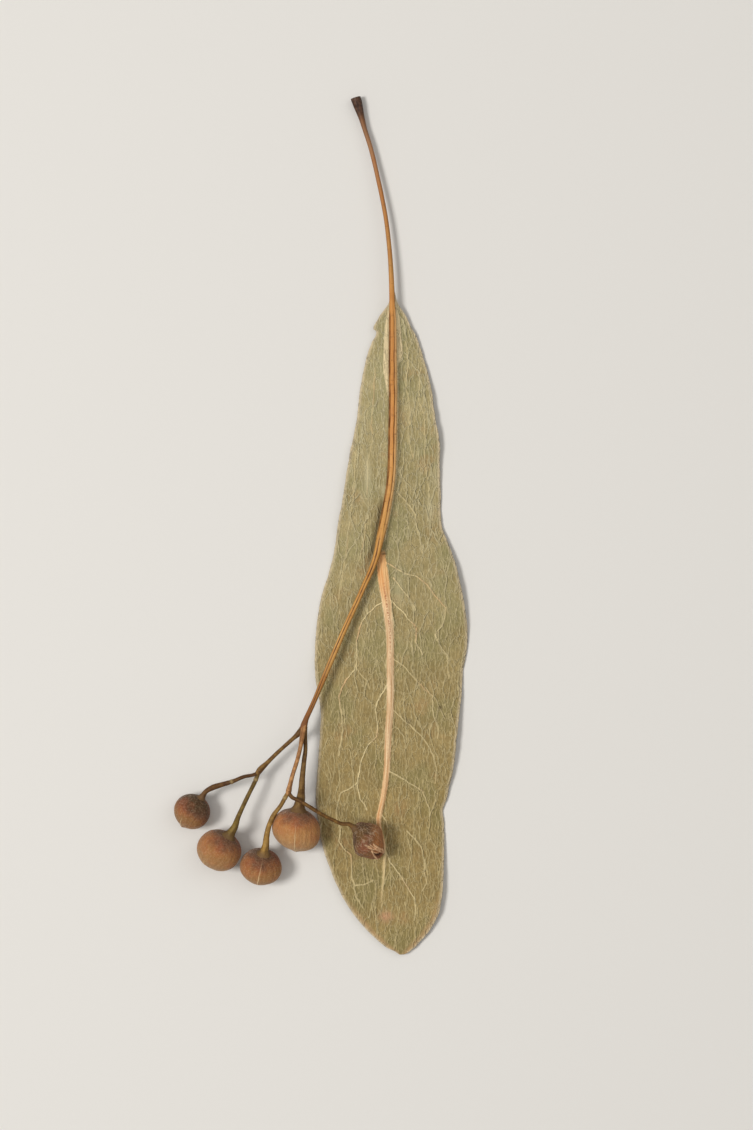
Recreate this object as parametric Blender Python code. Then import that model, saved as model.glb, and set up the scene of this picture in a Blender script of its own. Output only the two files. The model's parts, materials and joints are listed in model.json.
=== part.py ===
"""A cut and dried linden fruit cluster, lying flat.

A stalk with a flared foot carries a papery bract, fused to it over the upper half. Below the bract's
middle the stalk comes free, forks, and ends in five small nutlets, of which the last lies on the bract.

Metres, +Z up. +Y runs up the stalk to its foot, +X is to the right as seen from above, and the origin is
under the middle of the cluster, on the surface that it lies on.
"""

import math
from bisect import bisect_right

import bmesh
import bpy
from mathutils import Vector

MM = 0.001

# Clear space kept between neighbouring solids.
GAP = 0.3 * MM

# Bract: the blade's thickness, and the rib that stands on it where the stalk has come free.
BLADE_THICK = 0.64 * MM
RIB_HEIGHT = 0.2 * MM
RIB_TOP = -1.5 * MM
RIB_END = -36.8 * MM
RIB_RISE = 3 * MM
RIB_FADE = 20 * MM

# The blade's margins lift off the ground in waves: height, wavelength and a place where they touch it.
LEFT_LIFT = 0.45 * MM
LEFT_WAVE = 19 * MM
LEFT_LOW = -6 * MM
RIGHT_LIFT = 0.6 * MM
RIGHT_WAVE = 15 * MM
RIGHT_LOW = 2 * MM

# Where the blade is narrower than this its margins lift less, and its rib is at most this much of it.
FULL_LIFT_WIDTH = 8 * MM
RIB_SHARE = 0.4

# The blade's outline in mm, from its tip to its top: y, left margin x, right margin x.
OUTLINE = (
    (-40.8, 7.3, 7.8),
    (-40.4, 6.6, 8.6),
    (-39.7, 5.7, 9.3),
    (-38.5, 4.4, 10.35),
    (-37, 3.15, 11.15),
    (-35, 1.9, 11.55),
    (-32, 0.65, 11.7),
    (-29.5, -0.1, 11.75),
    (-28, -0.25, 11.7),
    (-27, -0.42, 11.6),
    (-26, -0.5, 11.95),
    (-23, -0.3, 12.6),
    (-20, -0.1, 12.95),
    (-18, 0.0, 13.15),
    (-16, -0.25, 13.4),
    (-14, -0.57, 13.5),
    (-12, -0.55, 13.85),
    (-10, -0.45, 13.95),
    (-7, 0.0, 13.55),
    (-4, 0.9, 12.9),
    (-2, 1.35, 12.25),
    (0, 1.6, 11.5),
    (3, 2.15, 11.4),
    (6, 2.6, 11.3),
    (8, 3.0, 11.3),
    (10, 3.4, 10.9),
    (13, 3.75, 10.5),
    (16, 4.35, 9.75),
    (18, 5.0, 9.05),
    (19, 5.1, 8.5),
    (20, 5.65, 8.05),
    (21, 6.4, 7.35),
    (22.1, 6.75, 7.05),
)

# The bract's rib in mm, from the blade's tip to its top: y, centre x, width.
RIB = (
    (-40.8, 7.55, 0.1),
    (-38.5, 6.7, 0.15),
    (-36.8, 5.95, 0.2),
    (-33, 6.0, 0.25),
    (-31, 6.0, 0.3),
    (-28, 5.5, 0.4),
    (-24, 6.2, 0.45),
    (-20, 6.4, 0.5),
    (-14, 6.6, 0.6),
    (-10, 6.55, 0.65),
    (-7, 6.2, 0.8),
    (-4.5, 5.9, 1.0),
    (-2, 5.8, 0.7),
    (2, 6.35, 0.5),
    (8, 6.8, 0.5),
    (22.1, 6.9, 0.5),
)

# The grid of the blade: rows along it, columns from each margin to the rib, and columns across the rib.
BLADE_ROWS = 60
SIDE_COLUMNS = 7
RIB_COLUMNS = 4

# Heights of the stalk's centreline: at its foot, fused on the blade, and at the fork.
FOOT_Z = 0.62
FUSED_Z = 1.28
FORK_Z = 2.35

# Routes of the limbs in mm, from base to tip: x, y, z, radius.
PEDUNCLE = (
    (3.3, 40.65, FOOT_Z, 0.5),
    (3.5, 40, FOOT_Z, 0.46),
    (3.8, 39, 0.64, 0.32),
    (4.07, 38, 0.66, 0.25),
    (4.7, 36, 0.72, 0.24),
    (5.42, 33, 0.86, 0.24),
    (6.2, 29, 1.05, 0.24),
    (6.62, 25, 1.18, 0.25),
    (6.78, 21, FUSED_Z, 0.28),
    (6.84, 15, FUSED_Z, 0.33),
    (6.82, 9, FUSED_Z, 0.34),
    (6.62, 4, FUSED_Z, 0.34),
    (6.12, 1, FUSED_Z, 0.33),
    (5.7, -1, 1.3, 0.32),
    (5.15, -3.3, 1.44, 0.29),
    (4, -6, 1.56, 0.27),
    (2.2, -10, 1.8, 0.27),
    (0.5, -14, 2.02, 0.27),
    (-0.95, -17.4, 2.24, 0.28),
    (-1.4, -18.7, 2.33, 0.36),
    (-1.65, -19.5, FORK_Z, 0.42),
)
BRANCH_LEFT = (
    (-2.25, -19.82, 2.25, 0.17),
    (-3, -20.53, 2.2, 0.19),
    (-4, -21.43, 2.2, 0.19),
    (-5, -22.42, 2.25, 0.2),
    (-5.78, -23.2, 2.3, 0.26),
)
BRANCH_MIDDLE = (
    (-1.74, -19.85, 2.72, 0.18),
    (-1.87, -20.85, 2.85, 0.2),
    (-2.2, -22.2, 2.97, 0.2),
    (-2.6, -23.5, 3.1, 0.2),
    (-2.88, -24.55, 3.2, 0.22),
    (-2.98, -25.05, 3.24, 0.26),
)
PEDICEL_1 = (
    (-6.4, -23.6, 2.45, 0.15),
    (-7.2, -23.75, 2.5, 0.15),
    (-8.3, -24.2, 2.5, 0.2),
    (-9.3, -24.5, 2.4, 0.25),
    (-10.2, -24.8, 2.3, 0.28),
)
PEDICEL_2 = (
    (-6.1, -24, 2.2, 0.2),
    (-6.65, -25.15, 2.35, 0.21),
    (-7.3, -26.5, 2.5, 0.22),
    (-7.75, -27.5, 2.55, 0.24),
)
PEDICEL_3 = (
    (-3.3, -25.65, 3.1, 0.2),
    (-3.75, -26.45, 3.12, 0.21),
    (-4.35, -27.25, 3.12, 0.23),
    (-4.8, -28.2, 3.05, 0.25),
    (-5.05, -29.2, 2.95, 0.27),
)
PEDICEL_4 = (
    (-1.46, -20, 2.1, 0.2),
    (-1.43, -21.2, 2.15, 0.21),
    (-1.57, -22.35, 2.2, 0.23),
    (-1.72, -23.85, 2.28, 0.27),
    (-1.8, -25, 2.35, 0.33),
)
PEDICEL_5 = (
    (-2.7, -25.6, 3.42, 0.19),
    (-1.95, -25.95, 3.62, 0.19),
    (-0.95, -26.55, 3.7, 0.19),
    (0.35, -27.35, 3.55, 0.18),
    (1.35, -27.85, 3.35, 0.18),
    (2, -28.15, 3.2, 0.18),
)

# Nutlets: centre x and y in mm, the plan direction of the stalk end from +X and its rise in degrees,
# diameter and length in mm, the radius of the face that the stalk meets, and the height it lies at.
NUTLETS = {
    "fruit_1": (-12.18, -27.1, 56, 15, 3.3, 3.15, 0.33, 0),
    "fruit_2": (-9.57, -30.75, 57, 20, 4.05, 3.65, 0.5, 0),
    "fruit_3": (-5.65, -32.3, 77, 30, 3.83, 3.2, 0.48, 0),
    "fruit_4": (-2.4, -28.75, 80, 12, 4.42, 3.95, 0.6, 0),
    "fruit_5": (4.57, -29.95, 143, 15, 2.95, 3.5, 0.3, 1.15),
}
NUTLET_SIDES = 18
NUTLET_RINGS = 10

# The point at a nutlet's far end: its height, and its radius as a share of the nutlet's diameter.
NUTLET_POINT = 0.2 * MM
POINT_SPREAD = 0.16

# The shrivelled nutlet has ribs, and an open mouth at its far end.
SHRIVELLED = "fruit_5"
RIBS = 5
RIB_DEPTH = 0.1
MOUTH_AT = (5.7, -30.85, 3.0)
MOUTH_SIZE = (1.1, 0.6, 1.3)
MOUTH_TURN = -25
MOUTH_SEGMENTS = 12
MOUTH_RINGS = 8

LIMB_SIDES = 10
LIMB_STEPS = 3

# A pedicel's last widening starts this many radii of its end before it, at this share of that radius.
NECK_LENGTH = 1.6
NECK_SHARE = 0.62

# Points of a mesh that lie this close are one point, and an edge that turns more is sharp.
WELD = 0.001 * MM
SHARP_ANGLE = 50

BARK_BROWN = (0.5, 0.25, 0.09)
TWIG_BROWN = (0.28, 0.17, 0.08)
BLADE_OLIVE = (0.36, 0.28, 0.13)
FELT_ORANGE = (0.33, 0.16, 0.07)
FELT_PURPLE = (0.19, 0.1, 0.06)


def smooth_value(points, at, column):
    """The value of one column at a place on a smooth curve through the points, whose first column rises."""
    places = [point[0] for point in points]
    values = [point[column] for point in points]
    last = len(points) - 1
    i = min(max(bisect_right(places, at) - 1, 0), last - 1)

    def slope(k):
        low = max(k - 1, 0)
        high = min(k + 1, last)
        return (values[high] - values[low]) / (places[high] - places[low])

    span = places[i + 1] - places[i]
    t = (at - places[i]) / span
    start = (2 * t**3 - 3 * t**2 + 1) * values[i] + (t**3 - 2 * t**2 + t) * span * slope(i)
    end = (3 * t**2 - 2 * t**3) * values[i + 1] + (t**3 - t**2) * span * slope(i + 1)
    return start + end


def clamp(value):
    return min(max(value, 0), 1)


def material(name, colour, roughness):
    paint = bpy.data.materials.new(name)
    paint.use_nodes = True
    shader = paint.node_tree.nodes["Principled BSDF"]
    shader.inputs["Base Color"].default_value = (*colour, 1)
    shader.inputs["Roughness"].default_value = roughness
    shader.inputs["Metallic"].default_value = 0
    paint.diffuse_color = (*colour, 1)
    return paint


def add_object(name, data, paint):
    thing = bpy.data.objects.new(name, data)
    data.materials.append(paint)
    bpy.context.scene.collection.objects.link(thing)
    return thing


def mesh_from(bm, name):
    bmesh.ops.recalc_face_normals(bm, faces=bm.faces)
    mesh = bpy.data.meshes.new(name)
    bm.to_mesh(mesh)
    bm.free()
    mesh.shade_smooth()
    mesh.set_sharp_from_angle(angle=math.radians(SHARP_ANGLE))
    return mesh


def rib_at(y):
    """The rib's centre, width and height at a place along the blade."""
    centre = smooth_value(RIB, y / MM, 1) * MM
    width = smooth_value(RIB, y / MM, 2) * MM
    rise = clamp((RIB_TOP - y) / RIB_RISE)
    fade = clamp((y - RIB_END) / RIB_FADE)
    return centre, width, RIB_HEIGHT * rise * fade


def wave(y, height, length, low):
    return height * (1 - math.cos(math.tau * (y - low) / length)) / 2


def blade_place(across, along):
    """A point of the blade's underside, from its place in the grid, 0 to 1 each way."""
    low = OUTLINE[0][0]
    high = OUTLINE[-1][0]
    eased = along / 2 + (1 - math.cos(math.pi * along)) / 4
    y = low + (high - low) * eased
    left = smooth_value(OUTLINE, y, 1) * MM
    right = smooth_value(OUTLINE, y, 2) * MM
    y *= MM
    rib, width, _ = rib_at(y)
    half_width = min(width, RIB_SHARE * (right - left)) / 2
    rib = min(max(rib, left + 2 * half_width), right - 2 * half_width)

    column = across * (2 * SIDE_COLUMNS + RIB_COLUMNS)
    if column < SIDE_COLUMNS:
        x = left + (rib - half_width - left) * column / SIDE_COLUMNS
        outward = (rib - x) / (rib - left)
        lift = wave(y, LEFT_LIFT, LEFT_WAVE, LEFT_LOW)
    elif column <= SIDE_COLUMNS + RIB_COLUMNS:
        x = rib + half_width * (2 * (column - SIDE_COLUMNS) / RIB_COLUMNS - 1)
        outward = 0
        lift = 0
    else:
        x = right - (right - rib - half_width) * (2 * SIDE_COLUMNS + RIB_COLUMNS - column) / SIDE_COLUMNS
        outward = (x - rib) / (right - rib)
        lift = wave(y, RIGHT_LIFT, RIGHT_WAVE, RIGHT_LOW)
    wide = clamp((right - left) / FULL_LIFT_WIDTH)
    return Vector((x, y, lift * wide * outward**2))


def build_bract():
    """One papery blade with its rib standing on the upper side, where the stalk has come free."""
    bm = bmesh.new()
    columns = 2 * SIDE_COLUMNS + RIB_COLUMNS
    bmesh.ops.create_grid(bm, x_segments=columns, y_segments=BLADE_ROWS, size=0.5)
    for vert in bm.verts:
        vert.co = blade_place(vert.co.x + 0.5, vert.co.y + 0.5)
    upper = bmesh.ops.extrude_face_region(bm, geom=bm.faces[:])
    for vert in upper["geom"]:
        if isinstance(vert, bmesh.types.BMVert):
            rib, width, height = rib_at(vert.co.y)
            off_centre = clamp(abs(vert.co.x - rib) / (width / 2))
            vert.co.z += BLADE_THICK + height * (1 + math.cos(math.pi * off_centre)) / 2
    add_object("bract", mesh_from(bm, "bract"), material("bract", BLADE_OLIVE, 0.75))


def nutlet_mesh(name, diameter, length, face_radius, ribs, rib_depth):
    """A turned nutlet, from its point at the bottom to the flat face at the top that the stalk meets."""
    radius = diameter / 2
    last_angle = math.pi - math.asin(face_radius / radius)
    bm = bmesh.new()
    points = []
    for ring in range(NUTLET_RINGS + 1):
        angle = last_angle * ring / NUTLET_RINGS
        r = radius * math.sin(angle)
        z = -length / 2 * math.cos(angle)
        if z < 0:
            z -= NUTLET_POINT * math.exp(-((r / (POINT_SPREAD * diameter)) ** 2))
        points.append(bm.verts.new((r, 0, z)))
    edges = [bm.edges.new(pair) for pair in zip(points, points[1:])]
    bmesh.ops.spin(
        bm,
        geom=points + edges,
        cent=(0, 0, 0),
        axis=(0, 0, 1),
        angle=math.tau,
        steps=NUTLET_SIDES,
    )
    bmesh.ops.remove_doubles(bm, verts=bm.verts, dist=WELD)
    bmesh.ops.holes_fill(bm, edges=bm.edges)
    for vert in bm.verts:
        turn = math.atan2(vert.co.y, vert.co.x)
        from_end = 1 - (2 * vert.co.z / length) ** 2
        swell = 1 + rib_depth * math.cos(ribs * turn) * max(from_end, 0)
        vert.co.x *= swell
        vert.co.y *= swell
    return mesh_from(bm, name)


def build_nutlet(name):
    """Lay one nutlet down at its height. Returns the middle of its stalk face, and the way that faces."""
    x, y, heading, rise, diameter, length, face_radius, height = NUTLETS[name]
    shrivelled = name == SHRIVELLED
    mesh = nutlet_mesh(
        name,
        diameter * MM,
        length * MM,
        face_radius * MM,
        RIBS,
        RIB_DEPTH if shrivelled else 0,
    )
    colour = FELT_PURPLE if shrivelled else FELT_ORANGE
    nutlet = add_object(name, mesh, material(name, colour, 0.9))
    flat = math.cos(math.radians(rise))
    facing = Vector(
        (
            flat * math.cos(math.radians(heading)),
            flat * math.sin(math.radians(heading)),
            math.sin(math.radians(rise)),
        )
    )
    turned = facing.to_track_quat("Z", "Y")
    lowest = min((turned @ vert.co).z for vert in mesh.vertices)
    nutlet.rotation_mode = "QUATERNION"
    nutlet.rotation_quaternion = turned
    nutlet.location = (x * MM, y * MM, height * MM - lowest)
    if shrivelled:
        cut_mouth(nutlet)
    top = max(vert.co.z for vert in mesh.vertices)
    return nutlet.location + facing * top, facing


def cut_mouth(nutlet):
    """The split that stands open at the shrivelled nutlet's far end."""
    bm = bmesh.new()
    bmesh.ops.create_uvsphere(bm, u_segments=MOUTH_SEGMENTS, v_segments=MOUTH_RINGS, radius=MM / 2)
    for vert in bm.verts:
        vert.co = Vector(a * b for a, b in zip(vert.co, MOUTH_SIZE))
    cutter = add_object("mouth_cutter", mesh_from(bm, "mouth_cutter"), material("mouth", FELT_PURPLE, 0.9))
    cutter.location = Vector(MOUTH_AT) * MM
    cutter.rotation_euler.z = math.radians(MOUTH_TURN)
    cutter.display_type = "WIRE"
    cutter.hide_render = True
    cut = nutlet.modifiers.new("mouth", "BOOLEAN")
    cut.operation = "DIFFERENCE"
    cut.solver = "EXACT"
    cut.object = cutter


def build_limb(name, route, colour):
    """One tapering limb: a smooth curve through the route's points, round in section, with flat ends."""
    curve = bpy.data.curves.new(name, "CURVE")
    curve.dimensions = "3D"
    curve.bevel_depth = MM
    curve.bevel_resolution = (LIMB_SIDES - 4) // 2
    curve.use_fill_caps = True
    curve.resolution_u = LIMB_STEPS
    spline = curve.splines.new("BEZIER")
    spline.bezier_points.add(len(route) - 1)
    for knot, (x, y, z, radius) in zip(spline.bezier_points, route):
        knot.co = (x * MM, y * MM, z * MM)
        knot.radius = radius
        knot.handle_left_type = "AUTO"
        knot.handle_right_type = "AUTO"
    add_object(name, curve, material(name, colour, 0.7))


def build_pedicel(name, route, seat, facing, face_radius):
    """A nutlet's own stalk, which swells towards the nutlet's face and stops just clear of it."""
    end = (seat + facing * GAP) / MM
    neck = end + facing * NECK_LENGTH * face_radius
    widening = (*neck, NECK_SHARE * face_radius), (*end, face_radius)
    build_limb(name, (*route, *widening), TWIG_BROWN)


def main():
    for thing in list(bpy.data.objects):
        bpy.data.objects.remove(thing)

    build_bract()
    build_limb("peduncle", PEDUNCLE, BARK_BROWN)
    build_limb("branch_left", BRANCH_LEFT, TWIG_BROWN)
    build_limb("branch_middle", BRANCH_MIDDLE, TWIG_BROWN)

    routes = (PEDICEL_1, PEDICEL_2, PEDICEL_3, PEDICEL_4, PEDICEL_5)
    for number, route in enumerate(routes, 1):
        nutlet = f"fruit_{number}"
        seat, facing = build_nutlet(nutlet)
        face_radius = NUTLETS[nutlet][6]
        build_pedicel(f"pedicel_{number}", route, seat, facing, face_radius)


main()
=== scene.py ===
"""The looks of a cut and dried linden fruit cluster, lying flat under a camera that looks down.

Shapes are worked out in millimetres in the part's own frame and turned into metres as each mesh is
finished. +Y runs up the stalk to its foot, +X is to the right, +Z is towards the camera. Colours are
written as red, green and blue as they show on a screen, 0 to 255.
"""

import json
import math

import bmesh
import bpy
import numpy as np
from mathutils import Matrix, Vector, noise

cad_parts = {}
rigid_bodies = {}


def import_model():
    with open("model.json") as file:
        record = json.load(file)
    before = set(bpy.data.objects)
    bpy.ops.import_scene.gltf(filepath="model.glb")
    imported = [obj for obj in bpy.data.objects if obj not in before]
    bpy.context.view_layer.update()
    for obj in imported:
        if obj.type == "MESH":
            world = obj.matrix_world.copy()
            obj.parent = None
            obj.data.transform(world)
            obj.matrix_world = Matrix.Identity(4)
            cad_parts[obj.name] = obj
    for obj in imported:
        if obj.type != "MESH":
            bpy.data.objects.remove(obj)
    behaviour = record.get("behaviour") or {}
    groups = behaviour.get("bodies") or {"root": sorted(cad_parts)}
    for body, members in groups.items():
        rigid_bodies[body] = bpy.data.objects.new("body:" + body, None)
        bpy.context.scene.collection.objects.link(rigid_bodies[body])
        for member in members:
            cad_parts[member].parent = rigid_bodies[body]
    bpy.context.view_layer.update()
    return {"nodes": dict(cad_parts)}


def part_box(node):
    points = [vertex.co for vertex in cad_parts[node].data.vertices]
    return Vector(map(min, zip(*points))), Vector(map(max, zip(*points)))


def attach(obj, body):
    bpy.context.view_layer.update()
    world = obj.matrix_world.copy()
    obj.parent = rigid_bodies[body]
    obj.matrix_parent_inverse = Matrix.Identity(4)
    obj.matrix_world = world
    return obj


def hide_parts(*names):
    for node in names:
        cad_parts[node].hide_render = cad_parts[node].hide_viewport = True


MM = 0.001
BODY = "root"
SHARP_ANGLE = 60
MERGE_GAP = 0.0005

# The camera stands over this place, as high as makes 1 mm on the ground 10.5 pixels of the 1130 pixel
# tall frame.
CAMERA_PLACE = (5.29, -3.76, 299)
CAMERA_LENS = 100
CAMERA_FILM = 36

# Soft square lights: place and side in metres, and power. The room adds a weak light from all round.
LIGHTS = {
    "key": ((-0.3, -0.02, 0.5), 0.16, 2.2),
    "fill": ((0.38, 0.2, 0.5), 0.5, 0.62),
    "top": ((-0.05, 0.1, 0.8), 0.5, 0.85),
}
LIGHT_TINT = (1.0, 0.98, 0.95)
ROOM_LIGHT = 0.27
FLOOR_HALF = 1.5
FLOOR_TONE = (224, 222, 218)
FLOOR_ROUGHNESS = 0.9

# Each slot's finish: roughness, sheen, and how deep its relief is.
SURFACES = {
    "stalk": (0.5, 0.0, 0.03),
    "bract": (0.62, 0.1, 0.078),
    "twig": (0.6, 0.0, 0.03),
    "nutlet": (0.85, 0.3, 0.12),
    "shrivelled_nutlet": (0.7, 0.1, 0.14),
}
SPECULAR = 0.25
SHEEN_ROUGHNESS = 0.25
SHEEN_TINT = (1.0, 0.88, 0.76, 1)

# Blade: fineness of its mesh, how the rows crowd at its ends and the columns at its rib, thickness, and
# the height of its upper side away from the rib.
BLADE_ROWS = 452
BLADE_COLUMNS = 96
ROW_CROWDING = 0.2
RIB_CROWDING = 0.25
BLADE_THICK = 0.14
BLADE_TOP = 0.6

# The margins lift in waves: height, wavelength and a place where they touch the ground.
LEFT_WAVE = (0.45, 19, -6)
RIGHT_WAVE = (0.6, 15, 2)
MARGIN_SINK = 0.4

# How ragged the margins are, how blunt the tip is, and the nick high on the left with the small lobe
# over it: its depth, the two y of its upper and of its lower slope, and the lobe's y, length and reach.
RAGGED = 0.05
TIP_BLUNT = 0.45
NICK = (0.24, (18.64, 18.46), (17.35, 18.1))
LOBE = (18.85, 0.3, 0.07)

# The rib below the stalk: y, centre x, width. It stands proud from RIB_FROM down to RIB_TO.
RIB = (
    (-40.8, 7.55, 0.12), (-38.5, 6.7, 0.14), (-36.8, 5.95, 0.16), (-33, 6.0, 0.22), (-31, 6.07, 0.28),
    (-28, 5.5, 0.48), (-26, 5.9, 0.48), (-24, 6.2, 0.54), (-20, 6.4, 0.6), (-17, 6.6, 0.64),
    (-14, 6.6, 0.66), (-10, 6.55, 0.72), (-7, 6.2, 0.84), (-4.5, 5.88, 1.0), (-3, 5.78, 0.7),
    (2, 6.35, 0.5), (8, 6.8, 0.5), (22.1, 6.9, 0.5),
)
RIB_FROM = -2.6
RIB_TO = -37
RIB_HEIGHT = 0.24

# Side veins of the blade: strength, and a run of x, y, x, y and so on.
SIDE_VEINS = (
    (0.55, (6.9, 3.5, 7.7, 2.7, 8.5, 1.8, 9.0, 0.9, 9.05, 0, 9.4, -1.2, 9.7, -2.6)),
    (0.75, (6.2, -3.5, 7.9, -4.5, 9, -4.75, 10.1, -5.6, 10.8, -6.6, 11.9, -7.8, 11.75, -8.8)),
    (0.6, (11.75, -8.8, 11.6, -9.5, 10.8, -10.4, 11.6, -11.8, 12, -12.5, 12.15, -14.5)),
    (0.8, (6.9, -5.0, 7.6, -5.9, 8.2, -6.6, 8.7, -7.4, 9.05, -8)),
    (0.9, (6.4, -6.9, 7.2, -7.7, 8, -8.5, 9.1, -9.8, 9, -11, 9.7, -12.3)),
    (0.6, (6.7, -12.4, 8.1, -13.6, 9.4, -15.1, 10.6, -16.2, 10.7, -18, 11.15, -19.3, 11.1, -20.2)),
    (0.6, (6.6, -17.3, 7.9, -18.5, 8.8, -19.3, 9.7, -20.2, 10.45, -21.3, 11, -23, 10.95, -24.5)),
    (0.7, (6.2, -23.2, 7.3, -23.8, 8.9, -24.8, 9.65, -25.3, 10.35, -26.9, 10.3, -27.7)),
    (0.7, (5.6, -27.3, 6.25, -28.1, 6.35, -28.7)),
    (0.6, (8.2, -29, 8.9, -29.8, 9.5, -30.5, 9.9, -32, 9.8, -32.9, 10.1, -34, 9.6, -34.7)),
    (0.85, (6.05, -30.8, 6.6, -32, 7.3, -32.9, 8, -34, 8.9, -35.5, 8.95, -36.5, 8.9, -37.5)),
    (0.95, (6.2, -7, 5.2, -7.7, 4.5, -8.3, 4, -9, 3.65, -9.8, 3.4, -11, 3.4, -13, 3.2, -13.7)),
    (0.85, (3.2, -13.7, 2.5, -14.5, 2, -15.5, 1.75, -16.2, 1.95, -17.8, 2.05, -19.5, 1.7, -21.9)),
    (0.5, (3.3, -13.5, 3.7, -14, 4.4, -14.8, 4.65, -15.5)),
    (1.0, (6.5, -14.8, 5.8, -16, 5.4, -16.8, 5.2, -17.5, 5.4, -19.3, 5.35, -20, 4.6, -20.8)),
    (1.0, (4.6, -20.8, 4.1, -21.6, 3.8, -22.5, 3.5, -24.2, 3.5, -25, 3.75, -26, 4.4, -27)),
    (0.7, (3.5, -24.4, 2.6, -25.1, 1.9, -25.5, 1.65, -26.3, 1.45, -27, 1.5, -27.8, 1.9, -29)),
    (0.8, (1.9, -29, 1.75, -30, 2.3, -30.8, 2.9, -31.3, 2.95, -32.5, 2.9, -33.5, 3.2, -34.2)),
    (0.6, (3.2, -34.2, 3.35, -35.3, 4, -36.3)),
    (0.6, (3.2, -34.2, 4, -34.2, 4.5, -34, 5, -33.8)),
    (0.5, (9.5, 15, 9.4, 14, 9.3, 12, 9.8, 10.5, 9.9, 8, 9.9, 6, 10.3, 3.5, 10.35, 2)),
    (0.45, (8.1, 17.5, 8.3, 15.5, 8.1, 13.5, 8.5, 11, 8.3, 8.5, 8.7, 6.5)),
    (0.4, (5.2, 15, 5.0, 12.5, 4.8, 10, 4.9, 8, 4.5, 6, 4.4, 3)),
    (0.4, (3.3, 7, 3.2, 4.5, 3.0, 2, 2.7, 0, 2.5, -2, 2.1, -4.5, 1.7, -7)),
    (0.4, (4.3, 1, 4.1, -1.5, 3.6, -3.5, 3.0, -5.5)),
)
VEIN_REACH = 0.5
VEIN_HEIGHT = 0.035

# How far the pale wings beside the fused stalk reach from its middle: y, left, right.
WINGS = (
    (-42, -1, -1), (-2.6, -1, -1), (-1.6, -1, 0.4), (-0.6, -1, 0.5), (1.2, -1, 0.5), (3.2, -1, 0.52),
    (6, -1, 0.52), (9, -1, 0.51), (11.2, -0.4, 0.51), (12.3, 0.48, 0.51), (13.3, 0.66, 0.51),
    (14.6, 0.9, 0.52), (15.4, 0.92, 0.56), (15.9, 0.9, 0.82), (17.9, 0.8, 0.84), (19.3, 0.66, 0.7),
    (20.4, 0.44, 0.56), (21.4, 0.1, 0.2), (22.5, -1, -1),
)

# Smooth patches where the fine veins give out, painted pale as a highlight of their faint gloss: x, half
# width, y, half length, strength.
BALD_PATCHES = (
    (4.45, 0.32, 4.6, 1.9, 1.0),
    (10.4, 0.4, 1.6, 1.3, 0.8),
    (10.9, 0.5, 4.5, 1.0, 0.5),
    (7.4, 0.5, -6.0, 1.6, 0.5),
    (5.95, 0.22, 3.4, 0.5, 0.8),
)

# Dark stains: x, y, size, strength. And the middle of a reddish blotch where the rib gives out.
STAINS = (
    (11.35, -17.3, 0.19, 0.9), (8.3, -18.7, 0.3, 0.35), (12.0, -21.9, 0.15, 0.5),
    (8.6, -1.9, 0.09, 0.5), (9.2, 5.2, 0.08, 0.35), (4.1, -12.2, 0.08, 0.4), (7.9, -27.6, 0.09, 0.4),
    (2.2, -30.6, 0.1, 0.5), (6.75, 3.9, 0.14, 0.6),
)
BLOTCH = (6.2, -37.2)

# The nets of fine veins: a mesh's size across and along, a vein's width, strength of colour, and relief.
VEIN_NETS = (
    (1.7, 4.2, 0.115, 0.78, 1.1),
    (0.72, 1.8, 0.1, 0.68, 0.9),
    (0.34, 0.95, 0.085, 0.46, 0.7),
)

# Routes of the limbs from base to tip: x, y, z, radius. They follow the solids, and run on a little
# into what each limb grows from or carries.
PEDUNCLE = (
    (3.3, 40.65, 0.62, 0.5), (3.5, 40, 0.62, 0.46), (3.8, 39, 0.64, 0.32), (4.07, 38, 0.66, 0.24),
    (4.7, 36, 0.72, 0.22), (5.42, 33, 0.86, 0.21), (6.2, 29, 1.05, 0.21), (6.62, 25, 1.18, 0.23),
    (6.78, 21, 1.28, 0.28), (6.84, 15, 1.28, 0.33), (6.82, 9, 1.28, 0.34), (6.62, 4, 1.28, 0.34),
    (6.12, 1, 1.28, 0.36), (5.7, -1, 1.3, 0.37), (5.15, -3.3, 1.44, 0.31), (4, -6, 1.56, 0.27),
    (2.2, -10, 1.8, 0.27), (0.5, -14, 2.02, 0.27), (-0.92, -17.35, 2.24, 0.235),
    (-1.38, -18.35, 2.31, 0.26), (-1.58, -19.0, 2.34, 0.33), (-1.68, -19.5, 2.37, 0.3),
    (-1.74, -19.85, 2.38, 0.17),
)
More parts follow.
